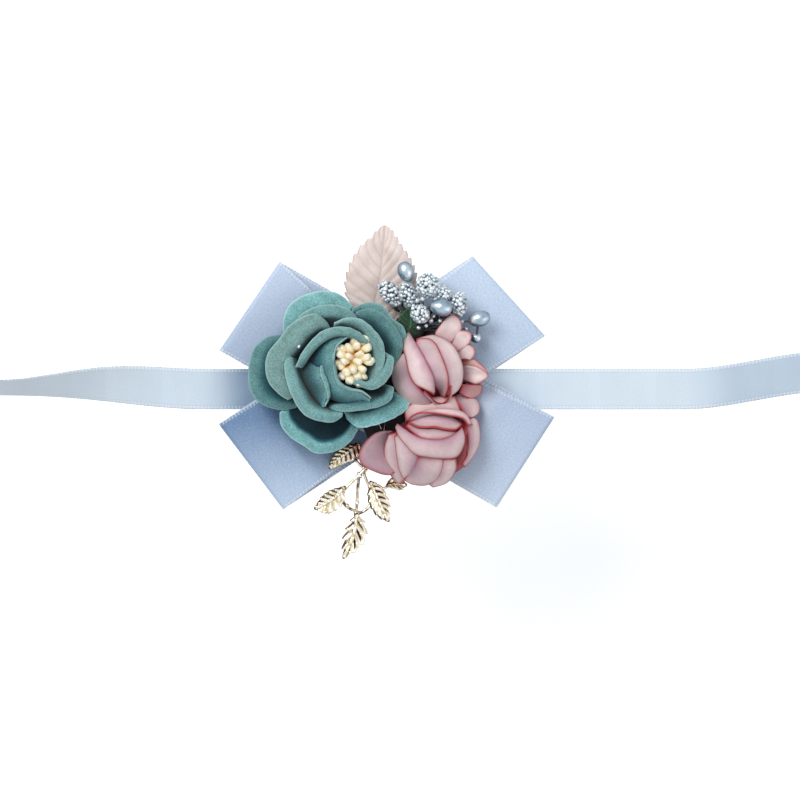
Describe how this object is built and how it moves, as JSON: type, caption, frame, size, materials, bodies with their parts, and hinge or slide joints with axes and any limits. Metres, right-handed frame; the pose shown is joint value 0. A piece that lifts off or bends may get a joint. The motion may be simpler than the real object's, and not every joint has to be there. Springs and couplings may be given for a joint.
{
  "type": "wrist corsage",
  "caption": "Wrist corsage: a flat satin bow on a tie ribbon, with a teal rose, pink fabric flowers, berries, a pale leaf and a gilt leaf sprig.",
  "frame": {"origin": "centre of the underside of the felt pad, the face that rests on the wrist", "axes": "+X along the wrist ribbon, +Y towards the pink leaf, +Z out of the pad through the flowers"},
  "size_m": [0.344, 0.0835, 0.0238],
  "materials": {
    "ribbon_satin": "satin",
    "bow_satin": "satin",
    "felt": "matte",
    "glue": "satin",
    "rose_suede": "matte",
    "stem_green": "matte",
    "stamen_cream": "satin",
    "pink_satin": "satin",
    "leaf_pink": "matte",
    "leaf_green": "matte",
    "pearl_silver": "gloss",
    "sugar_silver": "gloss",
    "gold": "gloss"
  },
  "bodies": {
    "corsage": {"felt_pad": "felt", "glue_bed": "glue", "wrist_ribbon_centre": "ribbon_satin", "lower_bow_ribbon": "bow_satin", "upper_bow_ribbon": "bow_satin", "gold_sprig": "gold", "pink_leaf": "leaf_pink", "green_leaf": "leaf_green", "berry_stem_wrap": "stem_green", "pearl_berry_1": "pearl_silver", "pearl_berry_2": "pearl_silver", "pearl_berry_3": "pearl_silver", "sugared_bud_1": "sugar_silver", "sugared_bud_2": "sugar_silver", "sugared_bud_3": "sugar_silver", "sugared_bud_4": "sugar_silver", "rose_base": "stem_green", "rose_stamens": "stamen_cream", "rose_petal_1": "rose_suede", "rose_petal_2": "rose_suede", "rose_petal_3": "rose_suede", "rose_petal_4": "rose_suede", "rose_petal_5": "rose_suede", "rose_petal_6": "rose_suede", "rose_petal_7": "rose_suede", "rose_petal_8": "rose_suede", "rose_petal_9": "rose_suede", "rose_petal_10": "rose_suede", "rose_petal_11": "rose_suede", "rose_petal_12": "rose_suede", "rose_petal_13": "rose_suede", "rose_petal_14": "rose_suede", "rose_petal_15": "rose_suede", "upper_pink_core": "pink_satin", "upper_pink_petal_1": "pink_satin", "upper_pink_petal_2": "pink_satin", "upper_pink_petal_3": "pink_satin", "upper_pink_petal_4": "pink_satin", "upper_pink_petal_5": "pink_satin", "upper_pink_petal_6": "pink_satin", "upper_pink_petal_7": "pink_satin", "upper_pink_petal_8": "pink_satin", "lower_pink_core": "pink_satin", "lower_pink_petal_1": "pink_satin", "lower_pink_petal_2": "pink_satin", "lower_pink_petal_3": "pink_satin", "lower_pink_petal_4": "pink_satin", "lower_pink_petal_5": "pink_satin", "lower_pink_petal_6": "pink_satin", "lower_pink_petal_7": "pink_satin", "lower_pink_petal_8": "pink_satin", "lower_pink_petal_9": "pink_satin", "lower_pink_petal_10": "pink_satin", "lower_pink_petal_11": "pink_satin"},
    "left_tail_1": {"left_ribbon_1": "ribbon_satin"},
    "left_tail_2": {"left_ribbon_2": "ribbon_satin"},
    "left_tail_3": {"left_ribbon_3": "ribbon_satin"},
    "right_tail_1": {"right_ribbon_1": "ribbon_satin"},
    "right_tail_2": {"right_ribbon_2": "ribbon_satin"},
    "right_tail_3": {"right_ribbon_3": "ribbon_satin"}
  },
  "joints": [
    {"name": "left_wrap", "type": "hinge", "parent": "corsage", "child": "left_tail_1", "pos_m": [-0.034, -0.001, 0.0002], "axis": [0, -1, 0], "range_deg": [-30, 35]},
    {"name": "left_wrap_2", "type": "hinge", "parent": "left_tail_1", "child": "left_tail_2", "pos_m": [-0.048, -0.001, 0.0002], "axis": [0, -1, 0], "range_deg": [-30, 35]},
    {"name": "left_wrap_3", "type": "hinge", "parent": "left_tail_2", "child": "left_tail_3", "pos_m": [-0.062, -0.001, 0.0002], "axis": [0, -1, 0], "range_deg": [-30, 35]},
    {"name": "right_wrap", "type": "hinge", "parent": "corsage", "child": "right_tail_1", "pos_m": [0.034, -0.001, 0.0002], "axis": [0, 1, 0], "range_deg": [-30, 35]},
    {"name": "right_wrap_2", "type": "hinge", "parent": "right_tail_1", "child": "right_tail_2", "pos_m": [0.048, -0.001, 0.0002], "axis": [0, 1, 0], "range_deg": [-30, 35]},
    {"name": "right_wrap_3", "type": "hinge", "parent": "right_tail_2", "child": "right_tail_3", "pos_m": [0.062, -0.001, 0.0002], "axis": [0, 1, 0], "range_deg": [-30, 35]}
  ],
  "couplings": [
    {"joint": "left_wrap_2", "follows": "left_wrap", "ratio": 1},
    {"joint": "left_wrap_3", "follows": "left_wrap", "ratio": 1},
    {"joint": "right_wrap_2", "follows": "right_wrap", "ratio": 1},
    {"joint": "right_wrap_3", "follows": "right_wrap", "ratio": 1}
  ]
}
